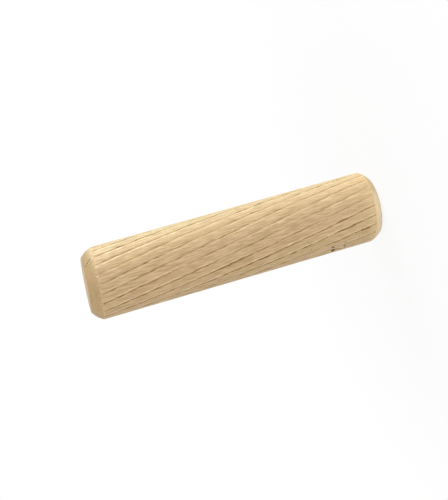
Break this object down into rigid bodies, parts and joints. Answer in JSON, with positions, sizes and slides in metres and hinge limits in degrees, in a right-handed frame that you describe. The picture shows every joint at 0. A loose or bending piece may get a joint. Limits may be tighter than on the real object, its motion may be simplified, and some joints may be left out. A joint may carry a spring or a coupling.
{
  "type": "wooden dowel pin",
  "caption": "Spiral-fluted beech dowel pin with chamfered ends, pressed and glued into drilled holes to join boards.",
  "frame": {"origin": "centre of the lower end face", "axes": "+Z along the dowel's axis, from the lower end face to the upper one"},
  "size_m": [0.0082, 0.0082, 0.035],
  "materials": {
    "beech": "bare, pressed and tumbled"
  },
  "bodies": {
    "root": {"dowel": "beech"}
  },
  "joints": []
}
